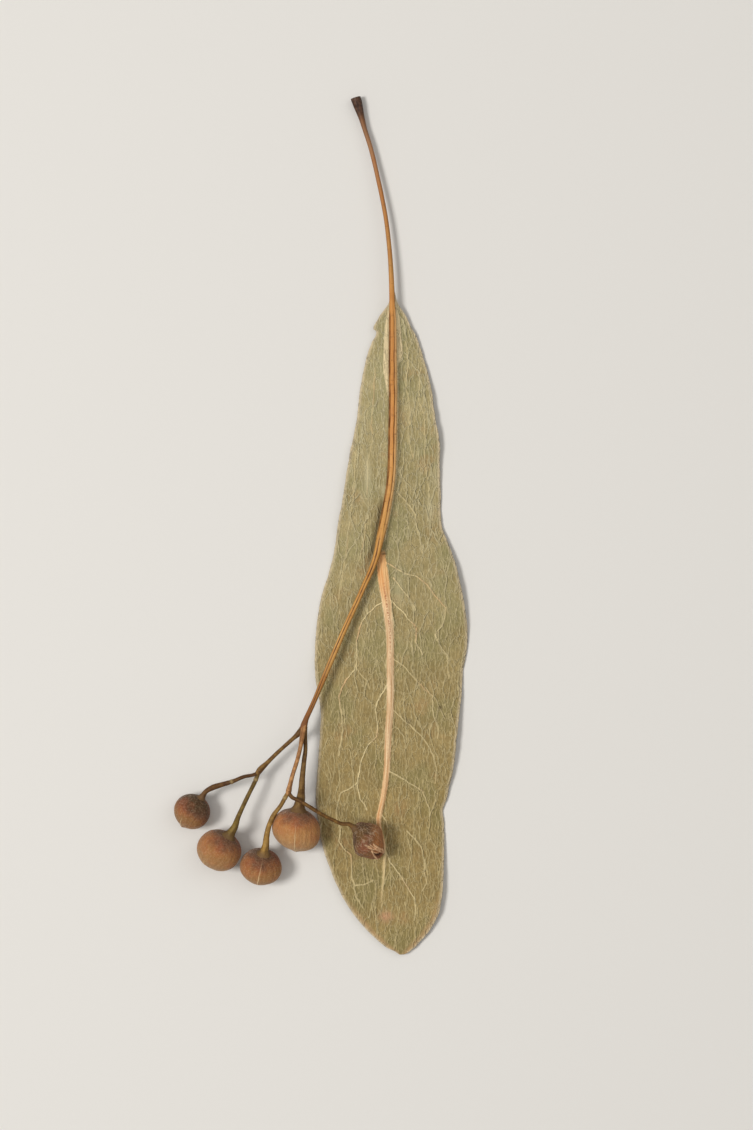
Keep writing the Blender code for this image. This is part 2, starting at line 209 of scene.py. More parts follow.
LIMBS = {
    "branch_left": (
        (-1.4, -18.5, 2.32, 0.2), (-1.72, -19.15, 2.32, 0.26), (-2.12, -19.72, 2.28, 0.27),
        (-2.5, -20.08, 2.24, 0.21), (-3, -20.53, 2.2, 0.19), (-4, -21.43, 2.2, 0.19),
        (-5, -22.42, 2.25, 0.21), (-5.78, -23.2, 2.3, 0.29), (-6.02, -23.55, 2.3, 0.24),
    ),
    "branch_middle": (
        (-1.5, -18.8, 2.38, 0.25), (-1.68, -19.7, 2.6, 0.26), (-1.87, -20.85, 2.85, 0.2),
        (-2.2, -22.2, 2.97, 0.2), (-2.6, -23.5, 3.1, 0.2), (-2.88, -24.55, 3.2, 0.23),
        (-3.0, -25.1, 3.24, 0.27), (-3.08, -25.4, 3.24, 0.2),
    ),
    "pedicel_1": (
        (-5.95, -23.45, 2.34, 0.17), (-6.4, -23.6, 2.45, 0.17), (-7.2, -23.75, 2.5, 0.18),
        (-8.3, -24.2, 2.5, 0.2), (-9.3, -24.5, 2.4, 0.24), (-10.2, -24.8, 2.3, 0.27),
    ),
    "pedicel_2": (
        (-5.88, -23.4, 2.26, 0.2), (-6.1, -24, 2.2, 0.21), (-6.65, -25.15, 2.35, 0.2),
        (-7.3, -26.5, 2.5, 0.21), (-7.75, -27.5, 2.55, 0.23),
    ),
    "pedicel_3": (
        (-3.0, -25.15, 3.2, 0.2), (-3.3, -25.65, 3.1, 0.21), (-3.75, -26.45, 3.12, 0.2),
        (-4.35, -27.25, 3.12, 0.22), (-4.8, -28.2, 3.05, 0.24), (-5.05, -29.2, 2.95, 0.27),
    ),
    "pedicel_4": (
        (-1.45, -19.05, 2.25, 0.22), (-1.46, -20, 2.1, 0.2), (-1.43, -21.2, 2.15, 0.2),
        (-1.57, -22.35, 2.2, 0.23), (-1.72, -23.85, 2.28, 0.27), (-1.8, -25, 2.35, 0.33),
    ),
    "pedicel_5": (
        (-3.0, -25.2, 3.24, 0.2), (-2.7, -25.6, 3.42, 0.19), (-1.95, -25.95, 3.62, 0.18),
        (-0.95, -26.55, 3.7, 0.18), (0.35, -27.35, 3.55, 0.17), (1.35, -27.85, 3.35, 0.17),
        (2, -28.15, 3.2, 0.18),
    ),
}
STALK_SIDES = 40
STALK_STEP = 0.1
TWIG_SIDES = 26
TWIG_STEP = 0.07

# The stalk's colour from the fork, at 0, to its foot.
STALK_FROM = -20.0
STALK_TO = 41.0
STALK_TONES = (
    (0.0, (92, 56, 36)),
    (0.016, (104, 64, 40)),
    (0.03, (110, 70, 36)),
    (0.05, (146, 97, 46)),
    (0.14, (212, 162, 90)),
    (0.28, (206, 152, 78)),
    (0.36, (218, 164, 92)),
    (0.47, (206, 142, 72)),
    (0.68, (206, 144, 74)),
    (0.74, (186, 138, 74)),
    (0.84, (172, 114, 60)),
    (0.925, (152, 112, 78)),
    (0.96, (112, 80, 58)),
    (0.975, (70, 46, 34)),
)

# Each twig's own pair of tones, and how strongly it is specked.
TWIG_TONES = {
    "branch_left": ((142, 108, 54), (92, 62, 30), 0.5),
    "branch_middle": ((204, 152, 98), (142, 96, 56), 0.4),
    "pedicel_1": ((114, 80, 38), (76, 47, 23), 0.9),
    "pedicel_2": ((136, 112, 52), (94, 72, 32), 0.6),
    "pedicel_3": ((176, 138, 72), (126, 95, 47), 0.5),
    "pedicel_4": ((138, 106, 54), (94, 66, 34), 0.5),
    "pedicel_5": ((134, 98, 46), (84, 54, 22), 0.6),
}

# What lies over a twig's tones, in this order: the mask it follows, its strength and its colour. The furrow
# and edge coats are painted shade, in the furrows and on the limb's sides.
TWIG_COATS = (
    ("furrow", 0.6, (70, 44, 22)),
    ("edge", 0.5, (60, 38, 20)),
    ("collar", 0.8, (164, 142, 98)),
    ("neck", 0.7, (108, 82, 54)),
)

# Pale collars where a pedicel is jointed: share of its length.
COLLARS = {"pedicel_1": 0.42, "pedicel_2": 0.1, "pedicel_3": 0.1}

# Nutlets: plan direction of the stalk end from +X and its rise in degrees, diameter, length, radius of
# the face that the stalk meets, and height of the lowest point.
NUTLETS = {
    "fruit_1": (56, 15, 3.3, 3.15, 0.33, 0),
    "fruit_2": (57, 20, 4.05, 3.65, 0.5, 0),
    "fruit_3": (77, 30, 3.83, 3.2, 0.48, 0),
    "fruit_4": (80, 12, 4.42, 3.95, 0.6, 0),
    "fruit_5": (143, 15, 2.95, 3.5, 0.3, 1.15),
}
SHRIVELLED = "fruit_5"
NUTLET_SIDES = 96
NUTLET_RINGS = 64

# A nutlet's small point: how far it stands out, and its half width as a share of the diameter.
NUTLET_POINT = 0.2
POINT_SPREAD = 0.1

# How square a nutlet is along its axis: 2 is an ellipse.
FULLNESS = {"fruit_1": 2.0, "fruit_2": 2.25, "fruit_3": 2.1, "fruit_4": 2.1, "fruit_5": 2.2}

# How much wider, taller and longer than its solid each nutlet is, in its own frame.
FELT_SIZE = {
    "fruit_1": (1.05, 1.0, 1.05),
    "fruit_2": (1.04, 1.0, 0.99),
    "fruit_3": (1.04, 1.0, 1.0),
    "fruit_4": (1.05, 1.0, 1.0),
    "fruit_5": (1.0, 1.0, 1.0),
}

# Where the palest seam of a nutlet lies, in degrees round its axis with 90 on top, and how far it runs
# up. The others are spread evenly round from it, and are fainter and shorter.
SEAMS = {"fruit_1": (74, 0.42), "fruit_2": (70, 0.28), "fruit_3": (92, 1.1), "fruit_4": (90, 0.9)}
SEAM_COUNT = 5
SEAM_STRENGTH = 0.95
OTHER_REACH = 0.5
OTHER_STRENGTH = 0.4

# How far the point of a nutlet leans to its own side.
LEANS = {"fruit_4": -0.42, "fruit_2": 0.1}

# Along a nutlet from its point: the felt's colours, to the dark cap round the stalk.
FELT = (
    (0.0, (208, 164, 116)),
    (0.25, (206, 154, 98)),
    (0.56, (200, 142, 84)),
    (0.69, (182, 120, 74)),
    (0.78, (145, 99, 71)),
    (0.86, (117, 86, 61)),
    (1.0, (105, 81, 52)),
)
SHRIVELLED_FELT = (
    (0.0, (140, 88, 48)),
    (0.35, (124, 80, 43)),
    (0.55, (97, 70, 44)),
    (0.8, (83, 62, 38)),
    (1.0, (74, 51, 26)),
)

# How far each nutlet is moved along that run of colours towards the cap, and how light its felt is.
CAPS = {"fruit_1": (0.13, 0.73), "fruit_2": (-0.11, 0.83), "fruit_3": (-0.09, 0.8), "fruit_4": (-0.1, 0.92)}

# The neck of a pedicel widens over the last of its length into the nutlet: distance from the seat, and
# radius as a share of the seat's. The distances are for a seat of this radius, and grow with it.
NECK = ((1.0, 0.7), (0.62, 0.8), (0.36, 0.92), (0.18, 1.08), (0.02, 1.34), (-0.14, 1.64))
NECK_SEAT = 0.5

# The shrivelled nutlet is a rounded square from above. Its torn mouth, on the upper side: the hollow's
# middle and half sizes, the wall inside it, and the pale lips round it: width, and a run of x, y.
SHRIVELLED_SQUARE = 3.7
SHRIVELLED_STRETCH = (0.85, 1.05, 1.0)
SHRIVELLED_SHIFT = (-0.06, 0.2)
HOLLOW = (5.6, -31.12, 0.4, 0.28)
HOLLOW_DEPTH = 0.55
INNER_WALL = (5.25, -31.12, 0.26)
INNER_DEPTH = 0.25
LIP_HEIGHT = 0.13
LIPS = (
    (0.07, (4.86, -30.62, 4.98, -30.9, 5.06, -31.12, 5.2, -31.34, 5.36, -31.48)),
    (0.08, (4.98, -29.98, 5.24, -30.2, 5.5, -30.36, 5.78, -30.5, 5.93, -30.72, 5.9, -30.98)),
    (0.05, (4.5, -30.3, 4.8, -30.42, 5.12, -30.44, 5.42, -30.62, 5.7, -30.74)),
    (0.04, (4.66, -30.02, 4.98, -30.24, 5.3, -30.44, 5.62, -30.6)),
    (0.05, (4.95, -30.7, 5.2, -30.86, 5.5, -30.84, 5.78, -30.92)),
    (0.04, (4.3, -30.1, 4.7, -30.24, 5.0, -30.5)),
)


def paint(red, green, blue):
    """A colour as it shows on a screen, 0 to 255, as the shader's own values."""
    values = [channel / 255 for channel in (red, green, blue)]
    return (*[v / 12.92 if v <= 0.04045 else ((v + 0.055) / 1.055) ** 2.4 for v in values], 1)


def clamp(value):
    return np.clip(value, 0, 1)


def ease(value, low, high):
    """0 at low, 1 at high and smooth between, whichever of the two is the larger."""
    t = clamp((value - low) / (high - low))
    return t * t * (3 - 2 * t)


def hump(value, centre, width):
    return np.exp(-(((value - centre) / width) ** 2))


def smooth_curve(knots, values, at):
    """Places at along a smooth curve through the values, one row for each of the knots, which rise."""
    knots = np.asarray(knots, float)
    values = np.asarray(values, float).reshape(len(knots), -1)
    slopes = np.gradient(values, knots, axis=0)
    i = np.clip(np.searchsorted(knots, at, side="right") - 1, 0, len(knots) - 2)
    span = (knots[i + 1] - knots[i])[:, None]
    t = (at - knots[i])[:, None] / span
    start = (2 * t**3 - 3 * t**2 + 1) * values[i] + (t**3 - 2 * t**2 + t) * span * slopes[i]
    end = (3 * t**2 - 2 * t**3) * values[i + 1] + (t**3 - t**2) * span * slopes[i + 1]
    return start + end


def rough(places, scale, seed=0):
    """Smooth noise, about -1 to 1, at places in mm; scale is the size of its lumps in mm."""
    shift = Vector((13.7 * seed, 5.3 * seed, 2.1 * seed))
    return np.array([noise.noise(Vector(place) / scale + shift) for place in places])


# Pieces


def add_object(name, data):
    made = bpy.data.objects.new(name, data)
    bpy.context.scene.collection.objects.link(made)
    return made


def add_mesh(name, bm, material):
    mesh = bpy.data.meshes.new(name)
    bm.to_mesh(mesh)
    bm.free()
    mesh.materials.append(material)
    return add_object(name, mesh)


def finish_mesh(bm, name, finish, stands_for):
    """Turn a bmesh in millimetres into a finished piece in metres that rides on the body."""
    bmesh.ops.scale(bm, vec=(MM, MM, MM), verts=bm.verts)
    piece = add_mesh(name, bm, finish)
    piece.data.shade_smooth()
    piece.data.set_sharp_from_angle(angle=math.radians(SHARP_ANGLE))
    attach(piece, BODY)
    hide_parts(stands_for)
    return piece


def add_values(bm, name, values):
    layer = bm.verts.layers.float.new(name)
    for vert, value in zip(bm.verts, values):
        vert[layer] = float(value)


def add_places(bm, name, places):
    layer = bm.verts.layers.float_vector.new(name)
    for vert, place in zip(bm.verts, places):
        vert[layer] = Vector(place)


def place_all(bm, places):
    for vert, place in zip(bm.verts, places):
        vert.co = Vector(place)


def grid(columns, rows):
    """A grid, and how far across and along it each of its points lies, 0 to 1."""
    bm = bmesh.new()
    bmesh.ops.create_grid(bm, x_segments=columns, y_segments=rows, size=0.5)
    flat = np.array([vert.co[:2] for vert in bm.verts]) + 0.5
    return bm, flat[:, 0], flat[:, 1]


def close_up(bm):
    """Join the points that meet, fill the open ends and turn all the faces outwards."""
    bmesh.ops.remove_doubles(bm, verts=bm.verts, dist=MERGE_GAP)
    bmesh.ops.holes_fill(bm, edges=bm.edges)
    bmesh.ops.recalc_face_normals(bm, faces=bm.faces)


# Blade


def way_off(points, run):
    """The way from the nearest place on a run of x, y to each point, and how far along the run it is."""
    run = np.reshape(run, (-1, 2))
    off = np.full((len(points), 2), 1e3)
    place = np.zeros(len(points))
    steps = len(run) - 1
    for k in range(steps):
        ahead = run[k + 1] - run[k]
        t = clamp((points - run[k]) @ ahead / (ahead @ ahead))
        step_off = points - run[k] - t[:, None] * ahead
        nearer = np.linalg.norm(step_off, axis=1) < np.linalg.norm(off, axis=1)
        off[nearer] = step_off[nearer]
        place = np.where(nearer, (k + t) / steps, place)
    return off, place


def blade_margins():
    """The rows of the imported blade: y, left margin and right margin in mm, from its tip to its top."""
    corners = np.array([vert.co for vert in frame["nodes"]["bract"].data.vertices]) / MM
    levels = np.round(corners[:, 1], 2)
    rows = []
    for level in np.unique(levels):
        across = corners[levels == level, 0]
        rows.append((level, across.min(), across.max()))
    return np.array(rows)


def side_veins(x, y, flat):
    """The way from the nearest side vein to each point with its strength there, and how far off it is.
    The veins wander a little off their runs."""
    bent = np.stack([x + 0.1 * rough(flat, 0.6, 3), y + 0.1 * rough(flat, 0.6, 5)], 1)
    vein = np.zeros_like(flat)
    nearest = np.full(len(x), VEIN_REACH)
    for strength, run in SIDE_VEINS:
        off, place = way_off(bent, run)
        away = np.linalg.norm(off, axis=1)
        closer = away < nearest
        power = strength * (1 - 0.3 * place) * ease(away, VEIN_REACH, 0.5 * VEIN_REACH)
        vein[closer] = np.column_stack([off, power])[closer]
        nearest = np.where(closer, away, nearest)
    return vein, nearest


def build_blade():
    bm, across, along = grid(BLADE_COLUMNS, BLADE_ROWS)
    margins = blade_margins()
    low = margins[0, 0]
    high = margins[-1, 0]
    eased = (1 - ROW_CROWDING) * along + ROW_CROWDING / 2 * (1 - np.cos(np.pi * along))
    y = low + (high - low) * eased
    left, right = smooth_curve(margins[:, 0], margins[:, 1:], y).T
    rib, rib_width = smooth_curve([k[0] for k in RIB], [k[1:] for k in RIB], y).T

    # The margins are a little ragged away from the two ends.
    rows = np.stack([np.zeros_like(y), y, np.zeros_like(y)], 1)
    ragged = rough(rows, 1.1) + 0.5 * rough(rows, 0.4, 9)
    end_fade = ease(y, low, low + 1.5) * ease(y, high, high - 1.5)
    nick_depth, upper_slope, lower_slope = NICK
    nick = nick_depth * ease(y, *upper_slope) * ease(y, *lower_slope)
    lobe_y, lobe_length, lobe_reach = LOBE
    left = left + RAGGED * ragged * end_fade + nick - lobe_reach * hump(y, lobe_y, lobe_length)
    right = right - RAGGED * ragged[::-1] * end_fade + TIP_BLUNT * ease(y, low + 0.6, low)
    half = (right - left) / 2
    rib = np.clip(rib, left + 0.35 * half, right - 0.35 * half)

    reach = np.abs(2 * across - 1)
    reach = (1 - RIB_CROWDING) * reach + RIB_CROWDING * reach**2
    on_left = across < 0.5
    x = np.where(on_left, rib + (left - rib) * reach, rib + (right - rib) * reach)

    stalk = np.array(PEDUNCLE)[::-1]
    stalk_x = smooth_curve(stalk[:, 1], stalk[:, 0], np.maximum(y, stalk[0, 1])).ravel()
    beside = np.abs(x - stalk_x)
    from_margin = np.where(on_left, x - left, right - x)

    # Level by the rib, waved at the margins, and drawn up to the stalk where the two are fused.
    wide = clamp((right - left) / 8)
    left_wave, right_wave = (
        lift * (1 - np.cos(2 * np.pi * (y - start) / length)) / 2
        for lift, length, start in (LEFT_WAVE, RIGHT_WAVE)
    )
    wave = np.where(on_left, left_wave, right_wave)
    z = BLADE_TOP + wave * wide * reach**2 - MARGIN_SINK * wide * reach**2.5
    free_side = np.where(x < stalk_x, ease(y, 3.2, 1.6), 0)
    fused = ease(y, -2.6, -0.6) * (1 - 0.95 * free_side)
    z += fused * (0.46 * hump(beside, 0, 0.75) + 0.06 * hump(beside, 0, 2))
    slit = ease(y, -4.5, -2.5) * ease(y, 3, 1.5) * (x < stalk_x)
    z -= 0.16 * slit * hump(beside, 0.5, 0.45)

    # The rib stands up where the stalk has left it, and thins out towards the tip.
    proud = ease(y, RIB_FROM + 0.5, RIB_FROM - 1.2) * ease(y, RIB_TO, RIB_TO + 9)
    off_rib = np.abs(x - rib) / (rib_width / 2)
    rib_mask = ease(y, RIB_FROM + 0.4, RIB_FROM - 0.2) * ease(y, RIB_TO, RIB_TO + 0.8)
    z += RIB_HEIGHT * proud * np.exp(-(off_rib**2) * 1.1)
    z -= 0.05 * proud * hump(off_rib, 2.1, 0.7)

    # Side veins are raised a little. The finish draws them from the way to the nearest.
    flat = np.stack([x, y, np.zeros_like(x)], 1)
    vein, nearest = side_veins(x, y, flat)
    z += VEIN_HEIGHT * vein[:, 2] * hump(nearest, 0, 0.12)

    # Dry tissue is cockled between its veins.
    cockles = 0.035 * rough(flat, 2.4, 1) * ease(beside, 0.3, 1.2)
    z += cockles + 0.018 * rough(flat * (1, 0.5, 1), 0.5, 2)

    # Where the tissue is pale: the wings beside the stalk, and some smooth patches whose paleness is a
    # painted highlight. The wings' edges are kept as the distance inside them, so that they stay sharp.
    jag = 0.04 * rough(flat * (0.3, 1, 1), 0.5, 9)
    left_reach, right_reach = smooth_curve([w[0] for w in WINGS], [w[1:] for w in WINGS], y).T
    wing = np.where(x < stalk_x, left_reach, right_reach) - beside + jag
    wing = np.clip(wing, -0.3, 0.3)
    z += 0.05 * ease(wing, -0.08, 0.05) * ease(y, 11, 14)
    bald_and_lit = np.zeros_like(x)
    for patch_x, half_width, patch_y, half_length, strength in BALD_PATCHES:
        bald_and_lit = np.maximum(bald_and_lit, strength * hump(x, patch_x, half_width) * hump(y, patch_y, half_length))

    # Where it is dark: painted shade in a line beside the fused stalk, in the slit and under a crease, and
    # a few stains.
    fused_shade_line = 0.5 * hump(beside, 0.43, 0.05) * ease(y, 3, 5) * ease(y, 21, 19) * (x < stalk_x)
    slit_shade = 0.75 * slit * hump(beside, 0.52, 0.22)
    crease_shade = 0.8 * hump(y, -2.72 - 0.1 * (x - 6), 0.07) * ease(x, 5.7, 5.85) * ease(x, 6.35, 6.2)
    dark = np.maximum.reduce([fused_shade_line, slit_shade, crease_shade])
    for stain_x, stain_y, size, strength in STAINS:
        dark = np.maximum(dark, strength * hump(np.hypot(x - stain_x, y - stain_y), 0, size))
    off_blotch = np.hypot((x - BLOTCH[0]) / 0.7, (y - BLOTCH[1]) / 0.6)
    blotch = hump(off_blotch + 0.25 * rough(flat, 0.35, 4), 0, 0.8)

    z = np.maximum(z, BLADE_THICK + 0.02)
    rounded = 0.2 * reach**3 * ease(y, low + 0.7, low)
    place_all(bm, np.stack([x, y + rounded, z], 1))
    add_places(bm, "vein", vein)
    add_places(bm, "rib", np.column_stack([x - rib, rib_width / 2, rib_mask]))
    add_places(bm, "pale", np.column_stack([wing, bald_and_lit, np.minimum(from_margin, 1)]))
    add_values(bm, "dark", dark)
    add_values(bm, "blotch", blotch)
    finish = make_finish("dry bract", "bract", blade_looks)
    blade = finish_mesh(bm, "bract_blade", finish, "bract")
    thick = blade.modifiers.new("thickness", "SOLIDIFY")
    thick.thickness = BLADE_THICK * MM
    thick.offset = -1


# Limbs


def follow(route, step):
    """Points a step apart on a smooth curve through a route of x, y, z, radius, and their frames."""
    route = np.asarray(route, float)
    knots = np.concatenate([[0], np.cumsum(np.linalg.norm(np.diff(route[:, :3], axis=0), axis=1))])
    at = np.linspace(0, knots[-1], max(int(knots[-1] / step), 12) + 1)
    curve = smooth_curve(knots, route, at)
    ahead = np.gradient(curve[:, :3], axis=0)
    ahead /= np.linalg.norm(ahead, axis=1)[:, None]
    side = np.cross(ahead, (0, 0, 1))
    side /= np.linalg.norm(side, axis=1)[:, None]
    return curve[:, :3], curve[:, 3], at, side, np.cross(side, ahead)


def roll(name, route, finish, shape, sides, step, stands_for):
    """A limb rolled from a grid round its route. shape gives, for each point's turn round the limb, its
    distance along it, its place and its radius, a new radius and the masks that its finish reads."""
    centres, radii, at, side, up = follow(route, step)
    rows = len(at) - 1
    bm, across, along = grid(sides, rows)
    row = np.rint(along * rows).astype(int)
    turn = 2 * np.pi * across - np.pi / 2
    radius, masks = shape(turn, at[row], centres[row], radii[row])
    out = np.cos(turn)[:, None] * side[row] + np.sin(turn)[:, None] * up[row]
    place_all(bm, centres[row] + radius[:, None] * out)
    straight = np.stack([radius * np.cos(turn), radius * np.sin(turn), at[row]], 1)
    add_places(bm, "straight", straight)
    for mask, values in masks.items():
        add_values(bm, mask, values)
    close_up(bm)
    finish_mesh(bm, name, finish, stands_for)


def peduncle_shape(turn, at, centre, radius):
    """Lined where it is fused to the blade, two ridges and a furrow below, rough at the foot. Its masks
    carry painted shade: in the lines and on the left flank where it is fused, in the furrow, and on its
    sides where it is free.
    """
    y = centre[:, 1]
    places = np.stack([2.2 * np.cos(turn), 2.2 * np.sin(turn), at], 1)
    off_top = turn - np.pi / 2
    fused = ease(y, -2.5, 1.5) * ease(y, 21.5, 19)
    freed = ease(y, 0.5, -3) * ease(y, -18.8, -16.5)
    free_top = ease(y, 21, 24)
    foot = ease(y, 38.2, 39.4)
    furrow_off = off_top + 0.18 - 0.12 * np.sin(at / 2.3)
    furrow = hump(furrow_off, 0, 0.24)
    wander = 0.06 * np.sin(at / 1.1) + 0.05 * np.sin(at / 0.37)
    # The dark lines beside the fused stretch, the dark left flank and the dark furrow are painted shade.
    left_line = hump(off_top, -0.92 + wander, 0.2)
    right_line = hump(off_top, 0.44 + wander, 0.15)
    lines = 0.5 + 0.5 * np.cos(7 * turn + 1.5 * np.sin(at / 3.1))
    left_shade = ease(off_top, -0.95, -1.1) * (1 - 0.6 * ease(off_top, -1.15, -1.4))
    top_line = 0.4 * free_top * hump(off_top, 0.55, 0.2)
    lined = np.maximum.reduce([left_line, right_line, left_shade])
    groove_shade = np.maximum.reduce([fused * lined, freed * furrow, top_line])
    # Painted shade on the sides of the stalk where it is free.
    edge = ease(np.abs(off_top), 0.75, 1.25) * (1 - fused)
    flank = fused * ease(off_top, 0.55, 0.72)
    factor = 1 - 0.1 * fused * (left_line + right_line) - 0.22 * freed * furrow
    factor += 0.05 * freed * hump(np.abs(furrow_off), 0.62, 0.3)
    factor -= 0.02 * lines * (1 - foot) + 0.05 * lines * foot
    factor += 0.035 * rough(places, 1.3, 7) + foot * 0.07 * rough(places, 0.45, 8)
    factor *= 1 + 0.2 * fused * np.cos(turn) ** 2
    masks = {"groove_shade": groove_shade, "foot": foot, "flank": flank, "edge": edge}
    return radius * factor, masks


def twig_shape(collar_at, length, has_neck):
    """Faintly ridged and lumpy bark, with a collar where a pedicel is jointed."""

    def shape(turn, at, centre, radius):
        places = np.stack([2.5 * np.cos(turn), 2.5 * np.sin(turn), at], 1)
        off_top = turn - np.pi / 2
        # The furrow is sunk into the bark, and its mask also carries painted shade.
        furrow = hump(off_top + 0.5 * np.sin(at / 1.9 + 1), 0, 0.2)
        furrow *= ease(np.sin(at / 0.9), -0.6, 0.2)
        lines = 0.5 + 0.5 * np.cos(5 * turn + 0.8 * np.sin(at / 1.7))
        lumps = 0.07 * rough(places, 0.9, 11)
        small_lumps = 0.04 * rough(places, 0.3, 12)
        factor = 1 - 0.035 * lines + lumps + small_lumps - 0.06 * furrow
        collar = np.zeros_like(at)
        if collar_at is not None:
            middle = collar_at * length
            collar = hump(at, middle, 0.12)
            factor += 0.14 * hump(at, middle, 0.1) - 0.08 * hump(at, middle + 0.2, 0.07)
        neck = ease(at, at.max() - 0.75, at.max() - 0.2) if has_neck else np.zeros_like(at)
        # Painted shade on the limb's sides.
        edge = ease(np.abs(off_top), 0.7, 1.2)
        masks = {"collar": collar, "neck": neck, "edge": edge, "furrow": furrow * (1 - neck)}
        return radius * factor, masks

    return shape


def build_limbs(seats):
    finish = make_finish("dry stalk", "stalk", stalk_looks)
    roll("stalk", PEDUNCLE, finish, peduncle_shape, STALK_SIDES, STALK_STEP, "peduncle")
    for name, route in LIMBS.items():
        has_neck = name.startswith("pedicel")
        if has_neck:
            nutlet = "fruit_" + name[-1]
            seat, facing = seats[nutlet]
            face_radius = NUTLETS[nutlet][4]
            for away, share in NECK:
                place = seat + facing * away * face_radius / NECK_SEAT
                route = (*route, (*place, share * face_radius))
        length = np.linalg.norm(np.diff(np.array(route)[:, :3], axis=0), axis=1).sum()
        shape = twig_shape(COLLARS.get(name), length, has_neck)
        finish = make_finish(name + " bark", "twig", twig_looks, name)
        roll(name + "_bark", route, finish, shape, TWIG_SIDES, TWIG_STEP, name)


# Nutlets


def nutlet_way(name):
    """The way a nutlet's stalk end faces, and the turn that brings its own +Z there."""
    heading, rise = (math.radians(a) for a in NUTLETS[name][:2])
    flat = math.cos(rise)
    facing = Vector((flat * math.cos(heading), flat * math.sin(heading), math.sin(rise)))
    return facing, facing.to_track_quat("Z", "Y")


def spin_nutlet(name):
    """A nutlet's bare shell, spun round its own Z axis with the stalk's face up."""
    diameter, length, face_radius = NUTLETS[name][2:5]
    radius = diameter / 2
    finer = 2 if name == SHRIVELLED else 1
    fullness = 2 / FULLNESS[name]
    last_angle = math.pi - math.asin((face_radius / radius) ** (1 / fullness))
    rings = NUTLET_RINGS * finer
    bm = bmesh.new()
    points = []
    for ring in range(rings + 1):
        angle = last_angle * ring / rings
        r = radius * math.sin(angle) ** fullness
        z = -length / 2 * math.copysign(abs(math.cos(angle)) ** fullness, math.cos(angle))
        if z < 0 and name != SHRIVELLED:
            z -= NUTLET_POINT * math.exp(-((r / (POINT_SPREAD * diameter)) ** 2))
        points.append(bm.verts.new((r, 0, z)))
    edges = [bm.edges.new(pair) for pair in zip(points, points[1:])]
    steps = NUTLET_SIDES * finer
    around = {"cent": (0, 0, 0), "axis": (0, 0, 1), "angle": math.tau}
    bmesh.ops.spin(bm, geom=points + edges, steps=steps, use_merge=True, **around)
    close_up(bm)
    return bm


def swell_round(name, local, ends, along):
    """How much each place of a ripe nutlet stands out: low ribs between its seams, and faint lumps."""
    seed = int(name[-1])
    seam_turn, seam_reach = SEAMS[name]
    seam_turn = math.radians(seam_turn)
    turn = np.arctan2(local[:, 1], local[:, 0]) - seam_turn
    lumps = 0.014 * rough(local, 1.4, seed)
    small_lumps = 0.006 * rough(local, 0.5, seed + 20)
    swell = 1 + 0.012 * np.cos(SEAM_COUNT * turn) * ends + lumps + small_lumps
    across = off_seam(local, seam_turn)
    return swell + 0.01 * hump(across, 0, 0.1) * ease(along, seam_reach, seam_reach - 0.1)


def swell_shrivelled(local, ends):
    """How much each place of the shrivelled nutlet stands out between its folds."""
    seed = int(SHRIVELLED[-1])
    folds = np.abs(rough(local * (1, 1, 0.6), 0.8, seed + 40))
    lumps = rough(local, 1.4, seed)
    small_lumps = rough(local, 0.5, seed + 20)
    return 1 + (0.09 * lumps + 0.05 * small_lumps - 0.1 * folds + 0.03) * ends


def build_nutlet(name):
    """A felted nutlet in its solid's place. Returns the middle of its stalk face, and the way it faces."""
    diameter, length, _, height = NUTLETS[name][2:]
    shrivelled = name == SHRIVELLED
    bm = spin_nutlet(name)
    local = np.array([vert.co for vert in bm.verts])
    ends = clamp(1 - (2 * local[:, 2] / length) ** 2)
    along = clamp(local[:, 2] / length + 0.5)
    end_face = local[:, 2] > local[:, 2].max() - 0.001
    swell = swell_shrivelled(local, ends) if shrivelled else swell_round(name, local, ends, along)
    facing, turned = nutlet_way(name)
    matrix = np.array(turned.to_matrix())
    solid = local @ matrix.T
    shift = np.array(sum(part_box(name), Vector())) / (2 * MM) - (solid.max(0) + solid.min(0)) / 2
    lean = np.zeros_like(local)
    lean[:, 0] = LEANS.get(name, 0) * (1 - along) ** 2
    places = (local * swell[:, None] * FELT_SIZE[name] + lean) @ matrix.T
    if shrivelled:
        places = square_off(places)
        shift[:2] += SHRIVELLED_SHIFT
    shift[2] = height - places[:, 2].min()
    places += shift
    seat = places[end_face].mean(0)
    if shrivelled:
        places, hollow, lip = tear_open(places, shift)
        add_values(bm, "hollow", hollow)
        add_values(bm, "lip", lip)
    add_values(bm, "along", along)
    # Height above the nutlet's lowest point, which the painted shade on its underside follows.
    add_values(bm, "height", (places[:, 2] - height) / diameter)
    add_places(bm, "straight", local)
    place_all(bm, places)
    if shrivelled:
        slot = "shrivelled_nutlet"
        finish = make_finish("shrivelled shell", slot, shrivelled_looks)
    else:
        slot = "nutlet"
        finish = make_finish(name + " felt", slot, nutlet_looks, name)
    finish_mesh(bm, name + "_shell", finish, name)
    return Vector(seat), facing


def off_seam(local, seam_turn):
    """How far each place in a nutlet's own frame is from its seam's plane, on the seam's side only."""
    across = local[:, 1] * math.cos(seam_turn) - local[:, 0] * math.sin(seam_turn)
    towards = local[:, 0] * math.cos(seam_turn) + local[:, 1] * math.sin(seam_turn)
    return np.where(towards > 0, across, 9)


def square_off(places):
    """Make a shell a rounded square as seen from above."""
    turn = np.arctan2(places[:, 1], places[:, 0])
    power = SHRIVELLED_SQUARE
    out = (np.abs(np.cos(turn)) ** power + np.abs(np.sin(turn)) ** power) ** (-1 / power)
    return places * np.column_stack([out, out, np.ones_like(out)]) * SHRIVELLED_STRETCH


